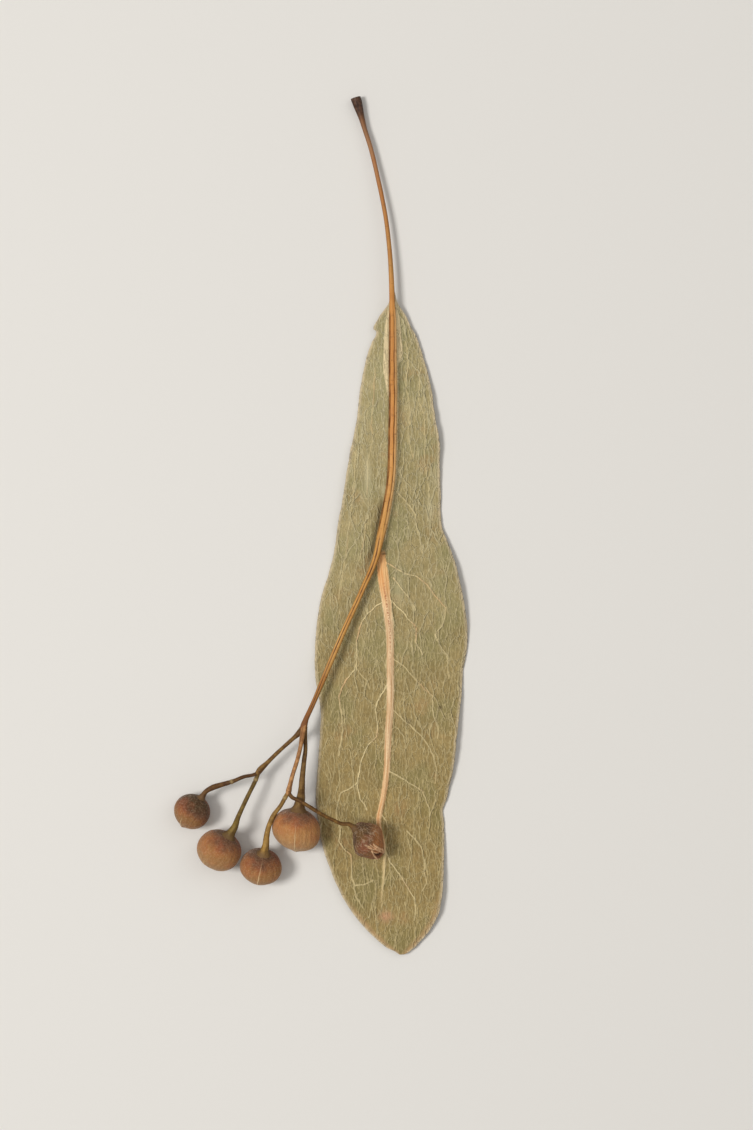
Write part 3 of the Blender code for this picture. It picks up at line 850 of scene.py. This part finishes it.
def tear_open(places, middle):
    """Sink the torn mouth into the upper side of a shell and raise its lips. Returns the places, how deep
    in the hollow each lies, and how much it belongs to a lip."""
    x, y, z = places.T
    upper = ease(z - middle[2], -0.2, 0.3)
    hollow_x, hollow_y, half_x, half_y = HOLLOW
    hollow = ease(np.hypot((x - hollow_x) / half_x, (y - hollow_y) / half_y), 1.15, 0.55) * upper
    wall_x, wall_y, wall_size = INNER_WALL
    inner = hump(np.hypot(x - wall_x, y - wall_y), 0, wall_size) * upper
    lip = np.zeros_like(x)
    for width, run in LIPS:
        away = np.linalg.norm(way_off(places[:, :2], run)[0], axis=1)
        lip = np.maximum(lip, hump(away, 0, width) * upper)
    down = HOLLOW_DEPTH * hollow + INNER_DEPTH * inner - LIP_HEIGHT * lip * (1 - 0.6 * hollow)
    inward = middle - places
    inward /= np.linalg.norm(inward, axis=1)[:, None]
    return places + down[:, None] * inward, np.maximum(hollow, 0.45 * inner), lip


# Finishes


class Nodes:
    """Adds nodes to one tree. A value that is a socket is linked, and any other is set."""

    def __init__(self, tree):
        self.tree = tree

    def add(self, kind, values=(), **settings):
        made = self.tree.nodes.new(kind)
        for name, setting in settings.items():
            setattr(made, name, setting)
        for name, value in dict(values).items():
            self.give(made.inputs[name], value)
        return made

    def give(self, socket, value):
        if isinstance(value, bpy.types.NodeSocket):
            self.tree.links.new(value, socket)
        else:
            socket.default_value = value

    def sum(self, operation, *values):
        return self.add("ShaderNodeMath", dict(enumerate(values)), operation=operation).outputs[0]

    def minus(self, a, b):
        return self.sum("SUBTRACT", a, b)

    def times(self, product, *others):
        for other in others:
            product = self.sum("MULTIPLY", product, other)
        return product

    def times_plus(self, a, b, c):
        """a times b, plus c."""
        return self.sum("MULTIPLY_ADD", a, b, c)

    def absolute(self, a):
        return self.sum("ABSOLUTE", a)

    def length(self, x, y):
        return self.sum("SQRT", self.times_plus(x, x, self.times(y, y)))

    def vector(self, operation, a, b):
        return self.add("ShaderNodeVectorMath", {0: a, 1: b}, operation=operation).outputs[0]

    def join(self, x, y, z):
        return self.add("ShaderNodeCombineXYZ", {0: x, 1: y, 2: z}).outputs[0]

    def split(self, vector):
        return self.add("ShaderNodeSeparateXYZ", {"Vector": vector}).outputs

    def mix(self, share, a, b):
        """From colour a to colour b. Each is a socket, or a tuple of red, green and blue."""
        a, b = (paint(*tone) if isinstance(tone, tuple) else tone for tone in (a, b))
        return self.add("ShaderNodeMix", {0: share, 6: a, 7: b}, data_type="RGBA").outputs[2]

    def coat(self, colour, mask, strength, tone):
        """The colour with another over it where the mask is, as strong as strength at most."""
        return self.mix(self.times(mask, strength), colour, tone)

    def step(self, value, low, high, start=0.0, end=1.0):
        values = {"Value": value, "From Min": low, "From Max": high, "To Min": start, "To Max": end}
        return self.add("ShaderNodeMapRange", values, interpolation_type="SMOOTHSTEP").outputs[0]

    def noise(self, vector, scale, detail=2.0, roughness=0.5, output="Fac"):
        values = {"Vector": vector, "Scale": scale, "Detail": detail, "Roughness": roughness}
        return self.add("ShaderNodeTexNoise", values).outputs[output]

    def mask(self, name):
        return self.add("ShaderNodeAttribute", attribute_name=name).outputs["Fac"]

    def place(self, name):
        return self.add("ShaderNodeAttribute", attribute_name=name).outputs["Vector"]

    def own_place(self):
        """The piece's own place in millimetres."""
        place = self.add("ShaderNodeTexCoord").outputs["Object"]
        return self.vector("MULTIPLY", place, (1 / MM, 1 / MM, 1 / MM))

    def ramp(self, value, stops):
        made = self.add("ShaderNodeValToRGB", {"Fac": value})
        elements = made.color_ramp.elements
        while len(elements) < len(stops):
            elements.new(0.5)
        for element, (position, tone) in zip(elements, stops):
            element.position = position
            element.color = paint(*tone)
        return made.outputs["Color"]

    def group(self, name, *values):
        """A group of that name, with the values in the order of its inputs."""
        return self.add("ShaderNodeGroup", dict(enumerate(values)), node_tree=groups[name]).outputs

    def fibre(self, place, across, along):
        return self.group("streaks", place, across, along)["Fibre"]

    def specks(self, place, scale, amount):
        return self.group("specks", place, scale, amount)["Mask"]


SOCKETS = {tuple: "NodeSocketColor", float: "NodeSocketFloat"}


def new_group(name, inputs, outputs):
    """A shader group of one vector and the inputs named with their values, and outputs named with their
    kind. Returns its nodes, its inputs and its output node's inputs."""
    tree = bpy.data.node_groups.new(name, "ShaderNodeTree")
    tree.interface.new_socket(name="Vector", in_out="INPUT", socket_type="NodeSocketVector")
    for socket, value in inputs.items():
        made = tree.interface.new_socket(name=socket, in_out="INPUT", socket_type=SOCKETS[type(value)])
        made.default_value = value
    for socket, kind in outputs.items():
        tree.interface.new_socket(name=socket, in_out="OUTPUT", socket_type=SOCKETS[kind])
    n = Nodes(tree)
    return n, n.add("NodeGroupInput").outputs, n.add("NodeGroupOutput").inputs


def mottle_group():
    """Uneven colour of dry tissue: two tones in soft patches, with a fine grain over them."""
    tones = {"Light": (0.8, 0.8, 0.8, 1), "Dark": (0.2, 0.2, 0.2, 1)}
    scales = {"Patch Scale": 1.0, "Grain Scale": 10.0, "Grain Share": 0.3}
    n, given, out = new_group("mottle", {**tones, **scales}, {"Color": tuple, "Grain": float})
    patches = n.noise(given["Vector"], given["Patch Scale"], 3.0, 0.6)
    grain = n.noise(given["Vector"], given["Grain Scale"], 2.0, 0.7)
    patch = n.step(patches, 0.32, 0.68)
    tone = n.mix(patch, given["Dark"], given["Light"])
    fine = n.step(grain, 0.3, 0.7, 0.72, 1.28)
    toned = n.vector("MULTIPLY", tone, n.join(fine, fine, fine))
    n.give(out["Color"], n.mix(given["Grain Share"], tone, toned))
    n.give(out["Grain"], grain)
    return n.tree


def streak_group():
    """Fibres that run along a limb or a nutlet, as a value from 0 to 1."""
    n, given, out = new_group("streaks", {"Across": 8.0, "Along": 0.7}, {"Fibre": float})
    scale = n.join(given["Across"], given["Across"], given["Along"])
    fibre = n.noise(n.vector("MULTIPLY", given["Vector"], scale), 1.0, 3.0, 0.6)
    n.give(out["Fibre"], n.step(fibre, 0.3, 0.7))
    return n.tree


def speck_group():
    """Small dark specks, scattered, as a mask."""
    n, given, out = new_group("specks", {"Scale": 4.0, "Amount": 0.5}, {"Mask": float})
    cells = n.add("ShaderNodeTexVoronoi", {"Vector": given["Vector"], "Scale": given["Scale"]})
    pick = n.noise(given["Vector"], 1.3, 1.0)
    near = n.step(cells.outputs["Distance"], 0.34, 0.12)
    some = n.step(pick, n.minus(0.72, n.times(given["Amount"], 0.35)), 0.75)
    n.give(out["Mask"], n.times(near, some))
    return n.tree


def mesh_edge_group():
    """How far a place is from the edge of a long wavy mesh, in the mesh's own units."""
    n, given, out = new_group("mesh edge", {"Across": 1.0, "Along": 1.0}, {"Distance": float})
    scaled = n.vector("DIVIDE", given["Vector"], n.join(given["Across"], given["Along"], 1.0))
    bend = n.vector("SUBTRACT", n.noise(scaled, 0.9, output="Color"), (0.5, 0.5, 0.5))
    bent = n.vector("ADD", scaled, n.vector("MULTIPLY", bend, (1.9, 1.0, 0.0)))
    cells = n.add("ShaderNodeTexVoronoi", voronoi_dimensions="2D", feature="DISTANCE_TO_EDGE")
    n.give(cells.inputs["Vector"], bent)
    n.give(cells.inputs["Scale"], 1.0)
    n.give(out["Distance"], cells.outputs["Distance"])
    return n.tree


def vein_net_group():
    """A net of veins, all equally thin whichever way they run. Those across the leaf are fainter."""
    sizes = {"Across": 1.0, "Along": 1.0, "Width": 0.1}
    n, given, out = new_group("vein net", sizes, {"Line": float, "Away": float})
    shift = 0.012
    here, right, up = (
        n.group("mesh edge", n.vector("ADD", given[0], move), given["Across"], given["Along"])[0]
        for move in ((0.0, 0.0, 0.0), (shift, 0.0, 0.0), (0.0, shift, 0.0))
    )
    rise_x = n.sum("DIVIDE", n.minus(right, here), shift)
    rise_y = n.sum("DIVIDE", n.minus(up, here), shift)
    slope = n.sum("MAXIMUM", n.length(rise_x, rise_y), 0.05)
    away = n.sum("DIVIDE", here, slope)
    upright = n.sum("DIVIDE", n.absolute(rise_x), slope)
    near = n.step(away, given["Width"], n.times(given["Width"], 0.2))
    n.give(out["Line"], n.times(near, n.step(upright, 0.1, 0.95, 0.4, 1.0)))
    n.give(out["Away"], away)
    return n.tree


def new_material(name, roughness, sheen=0.0):
    """A material and its shader. Values that are the same all over are set on the shader itself."""
    material = bpy.data.materials.new(name)
    material.use_nodes = True
    shader = material.node_tree.nodes["Principled BSDF"]
    shader.inputs["Roughness"].default_value = roughness
    shader.inputs["Specular IOR Level"].default_value = SPECULAR
    shader.inputs["Sheen Weight"].default_value = sheen
    shader.inputs["Sheen Roughness"].default_value = SHEEN_ROUGHNESS
    shader.inputs["Sheen Tint"].default_value = SHEEN_TINT
    return material, shader


def make_finish(name, slot, looks, *given):
    """A slot's material. looks adds its nodes and returns its colour, and its relief from 0 to 1."""
    roughness, sheen, depth = SURFACES[slot]
    material, shader = new_material(name, roughness, sheen)
    n = Nodes(material.node_tree)
    colour, height = looks(n, *given)
    n.give(shader.inputs["Base Color"], colour)
    bump = n.add("ShaderNodeBump", {"Height": height, "Distance": depth * MM, "Strength": 1.0})
    n.give(shader.inputs["Normal"], bump.outputs["Normal"])
    return material


def tissue(n, place, low):
    """The blade's own colour, which changes from its top, where low is 0, to its tip, and its grain."""
    light = n.mix(low, (183, 167, 121), (162, 138, 85))
    dark = n.mix(low, (160, 146, 100), (141, 119, 70))
    ground = n.group("mottle", place, light, dark, 0.5, 7.0, 0.3)
    green = n.step(n.noise(place, 0.22), 0.47, 0.66, 0.0, 0.5)
    colour = n.mix(green, ground["Color"], n.mix(low, (148, 147, 103), (128, 123, 75)))
    moved = n.vector("ADD", place, (31.0, 7.0, 0.0))
    warm = n.step(n.noise(moved, 0.35, 3.0), 0.56, 0.72, 0.0, 0.4)
    return n.mix(warm, colour, (172, 130, 84)), ground["Grain"]


def vein_nets(n, place, low, colour, height, full):
    """Three nets of veins over the blade, from wide meshes to the finest, each fading in and out. The
    middle of the finest meshes is painted darker as shade in their hollows."""
    pale = n.mix(low, (218, 206, 164), (214, 194, 142))
    hollow_shade_tone = n.mix(low, (104, 96, 62), (90, 78, 46))
    for number, (across, along, width, share, proud) in enumerate(VEIN_NETS):
        moved = n.vector("ADD", place, (17.0 * number, 5.0 * number, 0.0))
        net = n.group("vein net", moved, across, along, width)
        patchy = n.step(n.noise(moved, 0.55 / across), 0.36, 0.6, 0.3, 1.0)
        line = n.times(net["Line"], patchy, full)
        colour = n.coat(colour, line, share, pale)
        height = n.times_plus(line, proud, height)
    # Painted shade in the hollows of the finest meshes.
    middle = n.times(n.step(net["Away"], 0.07, 0.14, 0.0, 0.22), full)
    return n.mix(middle, colour, hollow_shade_tone), height


def rib_looks(n, place, y):
    """Where the rib shows, its colour and its fibres. It is flushed near the stalk and again lower down,
    dotted along its middle, and pale where it gives out."""
    off_rib, rib_half, rib_share = n.split(n.place("rib"))
    edge = n.times_plus(n.noise(place, 4.0, 3.0), 0.16, n.minus(n.absolute(off_rib), rib_half))
    rib = n.times(n.step(edge, 0.17, 0.02), rib_share, n.step(y, -36.8, -31.5, 0.25, 1.0))
    straight = n.join(off_rib, 0.0, y)
    fibre = n.fibre(straight, 6.0, 0.3)
    flush = n.times(n.step(y, -19.0, -27.0, 0.0, 0.5), n.step(y, -31.5, -30.0))
    flush = n.sum("MAXIMUM", n.step(y, -10.0, -4.0), flush)
    light = n.mix(flush, (246, 218, 176), (250, 204, 144))
    dark = n.mix(flush, (206, 162, 116), (222, 152, 86))
    colour = n.mix(fibre, light, dark)
    dots = n.step(n.noise(straight, 5.0, 3.0), 0.44, 0.56)
    middle = n.step(n.absolute(off_rib), 0.14, 0.02)
    dotted = n.times(n.step(y, -15.0, -8.0, 0.2, 0.85), n.step(y, -4.6, -6.5))
    colour = n.mix(n.times(dots, middle, dotted), colour, (170, 96, 60))
    return rib, n.mix(n.step(y, -30.0, -31.5, 0.0, 0.7), colour, (222, 202, 148)), fibre


def blade_looks(n):
    place = n.own_place()
    y = n.split(place)["Y"]
    low = n.step(y, 14.0, -30.0)
    colour, grain = tissue(n, place, low)
    wing, bald_and_lit, from_margin = n.split(n.place("pale"))
    full = n.minus(1.0, n.times(bald_and_lit, 0.7))
    colour, height = vein_nets(n, place, low, colour, n.times(grain, 0.3), full)
    # Painted highlight on the smooth patches, where the nets also fade.
    colour = n.coat(colour, bald_and_lit, 0.6, (194, 186, 152))
    colour = n.coat(colour, n.mask("blotch"), 0.7, (212, 158, 122))

    vein_x, vein_y, vein_power = n.split(n.place("vein"))
    vein = n.times(n.step(n.length(vein_x, vein_y), 0.11, 0.04), vein_power)
    height = n.times_plus(vein, 1.2, height)
    tint = n.step(n.noise(place, 0.25, 1.0), 0.54, 0.7)
    colour = n.coat(colour, vein, 0.9, n.mix(tint, (236, 216, 164), (228, 190, 140)))

    # The tip is tan near its margin, and the whole margin is pale.
    ragged = n.times_plus(n.noise(place, 6.0), 0.12, from_margin)
    tip = n.times(n.step(ragged, 1.0, 0.3, 0.0, 0.6), n.step(y, -34.5, -38.0))
    colour = n.mix(tip, colour, (194, 156, 114))
    colour = n.mix(n.step(ragged, 0.42, 0.1, 0.0, 0.8), colour, (210, 192, 158))
    colour = n.mix(n.step(wing, -0.04, 0.04, 0.0, 0.9), colour, (230, 210, 166))

    # The rib's own relief takes the place of the tissue's.
    rib, rib_colour, fibre = rib_looks(n, place, y)
    colour = n.coat(colour, rib, 0.95, rib_colour)
    rise = n.minus(n.times_plus(fibre, -0.5, 0.9), height)
    height = n.sum("ADD", height, n.times(rib, rise))
    # The dark mask holds painted shade beside the stalk, in the slit and at the crease, and the stains.
    return n.mix(n.mask("dark"), colour, (84, 66, 38)), height


def stalk_looks(n):
    place = n.place("straight")
    y = n.split(n.own_place())["Y"]
    ends = {"From Min": STALK_FROM, "From Max": STALK_TO}
    along = n.add("ShaderNodeMapRange", {"Value": y, **ends}).outputs[0]
    base = n.ramp(along, STALK_TONES)
    fibre = n.fibre(place, 5.0, 0.35)
    colour = n.coat(base, fibre, 0.35, (166, 104, 44))
    patches = n.step(n.noise(place, 0.55, 3.0), 0.45, 0.7, 0.0, 0.35)
    colour = n.mix(patches, colour, (164, 96, 42))
    colour = n.coat(colour, n.mask("flank"), 0.6, (230, 190, 134))
    # Painted shade in the lines and the furrow and on the left flank, broken up unevenly.
    uneven_shade = n.step(n.noise(place, 0.8, 3.0), 0.38, 0.6, 0.65, 1.0)
    groove_shade = n.times(n.step(n.mask("groove_shade"), 0.15, 0.75, 0.0, 0.95), uneven_shade)
    colour = n.mix(groove_shade, colour, (88, 48, 18))
    cracks = n.noise(n.vector("MULTIPLY", place, (1.6, 1.6, 4.0)), 1.0)
    colour = n.mix(n.step(cracks, 0.6, 0.72, 0.0, 0.32), colour, (124, 68, 30))
    # Painted shade on the sides of the free stalk.
    colour = n.coat(colour, n.mask("edge"), 0.55, (104, 60, 24))
    colour = n.coat(colour, n.specks(place, 2.0, 0.45), 0.6, (96, 56, 30))
    grey = n.step(n.noise(place, 3.0, 3.0), 0.4, 0.65)
    ash = n.mix(grey, (37, 22, 15), (85, 60, 46))
    colour = n.coat(colour, n.mask("foot"), 0.8, ash)
    return colour, n.times_plus(n.noise(place, 9.0), 0.4, n.times(fibre, 0.6))


def twig_looks(n, name):
    light, dark, specked = TWIG_TONES[name]
    place = n.place("straight")
    tone = n.group("mottle", place, paint(*light), paint(*dark), 1.6, 14.0, 0.6)
    fibre = n.fibre(place, 7.0, 0.8)
    colour = n.coat(tone["Color"], fibre, 0.4, dark)
    colour = n.coat(colour, n.specks(place, 3.2, specked), 0.75, (58, 38, 26))
    for mask, strength, over in TWIG_COATS:
        colour = n.coat(colour, n.mask(mask), strength, over)
    return colour, n.times_plus(tone["Grain"], 0.6, n.times(fibre, 0.4))


def felt_looks(n, place, stops, shift):
    """A nutlet's colour from its point to its stalk, with an uneven border between felt and cap, red
    patches, streaks, pale and dark tufts, and painted shade on its underside. Returns its fibres and tufts
    too."""
    wobble = n.minus(n.noise(place, 0.8, 4.0, 0.6), 0.5)
    along = n.times_plus(wobble, 0.5, n.mask("along"))
    colour = n.ramp(n.sum("ADD", along, shift), stops)
    patches = n.noise(n.vector("ADD", place, (9.0, 4.0, 2.0)), 0.7)
    fibre = n.fibre(place, 4.5, 0.6)
    tufts = n.noise(place, 7.0, 4.0, 0.7)
    for mask, share, tone in (
        (n.step(patches, 0.48, 0.64, 0.0, 0.45), 0.5, (188, 96, 58)),
        (n.times(fibre, 0.55), 0.5, (104, 54, 26)),
        (n.step(tufts, 0.48, 0.66, 0.0, 0.28), 0.55, (232, 204, 168)),
        (n.step(tufts, 0.46, 0.3, 0.0, 0.32), 0.6, (60, 32, 18)),
        # Painted shade: the lower part of the nutlet darker.
        (n.step(n.mask("height"), 0.6, 0.3, 0.0, 0.45), 0.5, (80, 46, 26)),
    ):
        colour = n.mix(mask, colour, n.mix(share, colour, tone))
    return colour, fibre, tufts


def seam_line(n, place, turn, reach, strength):
    """A pale line that runs up a nutlet from its point, and thins out where it ends."""
    turn = math.radians(turn)
    x, y, _ = n.split(place)
    across = n.minus(n.times(y, math.cos(turn)), n.times(x, math.sin(turn)))
    towards = n.sum("ADD", n.times(x, math.cos(turn)), n.times(y, math.sin(turn)))
    across = n.times_plus(n.minus(n.noise(place, 2.5), 0.5), 0.12, across)
    line = n.times(n.step(n.absolute(across), 0.06, 0.012), n.step(towards, -0.02, 0.02))
    return n.times(line, n.step(n.mask("along"), reach, 0.1 * reach, 0.0, strength))


def nutlet_looks(n, name):
    place = n.place("straight")
    shift, lightness = CAPS[name]
    stops = [(position, [lightness * channel for channel in tone]) for position, tone in FELT]
    colour, fibre, tufts = felt_looks(n, place, stops, shift)
    first_turn, reach = SEAMS[name]
    seam = seam_line(n, place, first_turn, reach, SEAM_STRENGTH)
    for number in range(1, SEAM_COUNT):
        turn = first_turn + 360 / SEAM_COUNT * number
        seam = n.sum("MAXIMUM", seam, seam_line(n, place, turn, OTHER_REACH, OTHER_STRENGTH))
    colour = n.mix(seam, colour, (240, 212, 164))
    return colour, n.times_plus(tufts, 0.7, n.times_plus(fibre, 0.3, n.times(seam, 0.5)))


def shrivelled_looks(n):
    place = n.place("straight")
    colour, fibre, tufts = felt_looks(n, place, SHRIVELLED_FELT, 0.0)
    red = n.step(n.noise(place, 0.8), 0.5, 0.64, 0.0, 0.5)
    colour = n.mix(red, colour, (146, 92, 66))
    olive = n.step(n.noise(n.vector("ADD", place, (5.0, 2.0, 8.0)), 0.9), 0.5, 0.62, 0.0, 0.5)
    colour = n.mix(olive, colour, (118, 86, 46))
    x, y, _ = n.split(n.own_place())
    tan = n.times(n.step(x, 4.5, 5.5), n.step(y, -31.1, -30.3))
    colour = n.coat(colour, tan, 0.6, (172, 112, 62))
    hair = n.noise(n.vector("MULTIPLY", place, (1.0, 1.0, 0.5)), 2.6)
    hair = n.step(n.absolute(n.minus(hair, 0.5)), 0.035, 0.01)
    hair = n.times(hair, n.step(n.mask("along"), 0.3, 0.6, 0.1, 0.42))
    colour = n.mix(hair, colour, (190, 164, 136))
    # Painted shade inside the torn mouth.
    colour = n.mix(n.step(n.mask("hollow"), 0.1, 0.85), colour, (52, 24, 10))
    frayed = n.times(n.mask("lip"), n.step(tufts, 0.36, 0.6, 0.35, 1.0))
    colour = n.mix(n.step(frayed, 0.12, 0.5, 0.0, 0.92), colour, (222, 180, 138))
    return colour, n.times_plus(tufts, 0.6, n.times(fibre, 0.5))


# Stage


def build_stage():
    bm = bmesh.new()
    bmesh.ops.create_grid(bm, x_segments=1, y_segments=1, size=FLOOR_HALF)
    material, shader = new_material("pale floor", FLOOR_ROUGHNESS)
    shader.inputs["Base Color"].default_value = paint(*FLOOR_TONE)
    add_mesh("floor", bm, material)


def add_camera():
    data = bpy.data.cameras.new("camera")
    data.lens = CAMERA_LENS
    data.sensor_fit = "VERTICAL"
    data.sensor_height = CAMERA_FILM
    data.clip_start = 0.01
    camera = add_object("camera", data)
    camera.location = [way * MM for way in CAMERA_PLACE]
    bpy.context.scene.camera = camera


def light_scene():
    """Each light is aimed at the cluster's middle."""
    for name, (place, side, power) in LIGHTS.items():
        data = bpy.data.lights.new(name, "AREA")
        data.shape = "SQUARE"
        data.size = side
        data.energy = power
        data.color = LIGHT_TINT
        light = add_object(name, data)
        light.location = place
        light.rotation_mode = "QUATERNION"
        light.rotation_quaternion = Vector(place).to_track_quat("Z", "Y")
    world = bpy.data.worlds.new("room")
    world.use_nodes = True
    background = world.node_tree.nodes["Background"]
    background.inputs["Color"].default_value = (*LIGHT_TINT, 1)
    background.inputs["Strength"].default_value = ROOM_LIGHT
    bpy.context.scene.world = world
    bpy.context.scene.view_settings.view_transform = "Standard"


for thing in list(bpy.data.objects):
    bpy.data.objects.remove(thing)
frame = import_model()
groups = {}
groups["mottle"] = mottle_group()
groups["streaks"] = streak_group()
groups["specks"] = speck_group()
groups["mesh edge"] = mesh_edge_group()
groups["vein net"] = vein_net_group()
add_camera()
light_scene()
build_stage()
build_blade()
build_limbs({name: build_nutlet(name) for name in NUTLETS})
